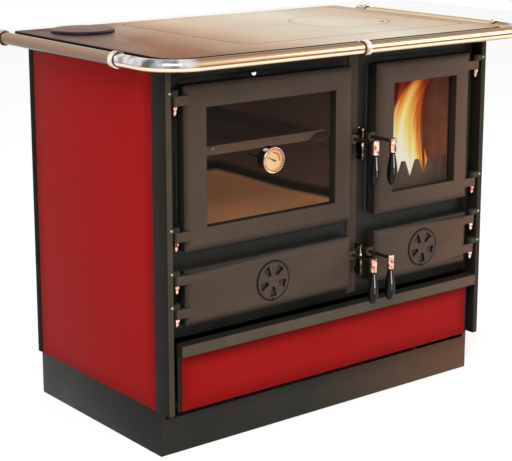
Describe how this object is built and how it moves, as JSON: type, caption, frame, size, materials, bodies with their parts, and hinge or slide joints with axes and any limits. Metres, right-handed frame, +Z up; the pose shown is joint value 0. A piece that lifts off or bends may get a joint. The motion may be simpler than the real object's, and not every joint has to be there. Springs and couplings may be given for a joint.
{
  "type": "wood-fired range cooker",
  "caption": "Wood-fired cast iron range cooker with glazed oven and fire doors, lower doors with air rosettes, a wood drawer, a ground steel hob and a towel rail round it.",
  "frame": {"origin": "on the floor, at the middle of the cooker's overall width and depth", "axes": "+X to the right across the front, +Y to the rear, +Z up"},
  "size_m": [1.057, 0.6654, 0.8565],
  "materials": {
    "brown_iron": "satin",
    "black_iron": "matte",
    "dark_steel": "satin",
    "red_enamel": "gloss",
    "enamelled_steel": "gloss",
    "ground_steel": "satin",
    "nickel": "polished",
    "chrome": "polished",
    "brass": "satin",
    "glass": "gloss",
    "rope": "matte",
    "firebrick": "matte",
    "grip_black": "satin",
    "needle_red": "satin"
  },
  "bodies": {
    "cooker": {"plinth": "dark_steel", "base_plate": "dark_steel", "front_post_left": "brown_iron", "front_post_right": "brown_iron", "rear_post_left": "black_iron", "rear_post_right": "black_iron", "side_panel_left": "red_enamel", "side_panel_right": "red_enamel", "back_panel": "dark_steel", "flue_box": "black_iron", "flue_spigot": "dark_steel", "front_frame": "brown_iron", "hob_surround": "ground_steel", "hotplate": "ground_steel", "rail_left": "nickel", "rail_front": "nickel", "rail_right": "nickel", "rail_brackets": "nickel", "oven_box": "enamelled_steel", "oven_tray": "dark_steel", "firebox_casing": "black_iron", "firebrick_left": "firebrick", "firebrick_right": "firebrick", "firebrick_rear": "firebrick", "fire_grate": "black_iron", "log_guard": "black_iron", "ash_pan": "dark_steel", "under_oven_box": "dark_steel", "drawer_runners": "dark_steel", "latch_keepers": "chrome", "hinge_knuckles": "black_iron", "hinge_pins": "brass"},
    "hotplate_lid": {"hotplate_lid": "ground_steel"},
    "flue_cover": {"flue_cover": "ground_steel"},
    "damper": {"damper": "chrome"},
    "drawer": {"drawer_box": "dark_steel", "drawer_front": "red_enamel", "drawer_ledge": "brown_iron"},
    "oven_door": {"oven_door": "brown_iron", "oven_glass": "glass", "oven_glass_clips": "dark_steel", "oven_seal": "rope", "thermometer_case": "chrome"},
    "thermometer_needle": {"thermometer_needle": "needle_red"},
    "fire_door": {"fire_door": "brown_iron", "fire_glass": "glass", "fire_glass_clips": "dark_steel", "fire_seal": "rope"},
    "under_oven_door": {"under_oven_door": "brown_iron"},
    "ash_door": {"ash_door": "brown_iron"},
    "under_oven_rosette": {"under_oven_rosette": "brown_iron"},
    "ash_rosette": {"ash_rosette": "brown_iron"},
    "oven_handle": {"oven_handle_stem": "chrome", "oven_handle_grip": "grip_black"},
    "fire_handle": {"fire_handle_stem": "chrome", "fire_handle_grip": "grip_black"},
    "under_oven_handle": {"under_oven_handle_stem": "chrome", "under_oven_handle_grip": "grip_black"},
    "ash_handle": {"ash_handle_stem": "chrome", "ash_handle_grip": "grip_black"}
  },
  "joints": [
    {"name": "hotplate_lid_lift", "type": "slide", "parent": "cooker", "child": "hotplate_lid", "axis": [0, 0, 1], "range_m": [0, 0.12]},
    {"name": "flue_cover_lift", "type": "slide", "parent": "cooker", "child": "flue_cover", "axis": [0, 0, 1], "range_m": [0, 0.12]},
    {"name": "damper_pull", "type": "slide", "parent": "cooker", "child": "damper", "axis": [0, -1, 0], "range_m": [0, 0.06]},
    {"name": "drawer_pull", "type": "slide", "parent": "cooker", "child": "drawer", "axis": [0, -1, 0], "range_m": [0, 0.38]},
    {"name": "oven_door_swing", "type": "hinge", "parent": "cooker", "child": "oven_door", "pos_m": [-0.43, -0.22925, 0.615], "axis": [0, 0, 1], "range_deg": [-105, 0]},
    {"name": "fire_door_swing", "type": "hinge", "parent": "cooker", "child": "fire_door", "pos_m": [0.43, -0.22925, 0.615], "axis": [0, 0, 1], "range_deg": [0, 105]},
    {"name": "under_oven_door_swing", "type": "hinge", "parent": "cooker", "child": "under_oven_door", "pos_m": [-0.43, -0.22925, 0.345], "axis": [0, 0, 1], "range_deg": [-105, 0]},
    {"name": "ash_door_swing", "type": "hinge", "parent": "cooker", "child": "ash_door", "pos_m": [0.43, -0.22925, 0.345], "axis": [0, 0, 1], "range_deg": [0, 105]},
    {"name": "oven_handle_turn", "type": "hinge", "parent": "oven_door", "child": "oven_handle", "pos_m": [0.0535, -0.22325, 0.624], "axis": [0, 1, 0], "range_deg": [0, 90]},
    {"name": "fire_handle_turn", "type": "hinge", "parent": "fire_door", "child": "fire_handle", "pos_m": [0.1045, -0.22325, 0.624], "axis": [0, 1, 0], "range_deg": [-90, 0]},
    {"name": "under_oven_handle_turn", "type": "hinge", "parent": "under_oven_door", "child": "under_oven_handle", "pos_m": [0.0535, -0.22325, 0.359], "axis": [0, 1, 0], "range_deg": [0, 90]},
    {"name": "ash_handle_turn", "type": "hinge", "parent": "ash_door", "child": "ash_handle", "pos_m": [0.1045, -0.22325, 0.359], "axis": [0, 1, 0], "range_deg": [-90, 0]},
    {"name": "under_oven_rosette_turn", "type": "hinge", "parent": "under_oven_door", "child": "under_oven_rosette", "pos_m": [-0.183, -0.22325, 0.345], "axis": [0, 1, 0], "range_deg": [0, 36]},
    {"name": "ash_rosette_turn", "type": "hinge", "parent": "ash_door", "child": "ash_rosette", "pos_m": [0.262, -0.22325, 0.345], "axis": [0, 1, 0], "range_deg": [0, 36]},
    {"name": "thermometer_needle_turn", "type": "hinge", "parent": "oven_door", "child": "thermometer_needle", "pos_m": [-0.183, -0.23725, 0.6085], "axis": [0, 1, 0], "range_deg": [-70, 200]}
  ]
}
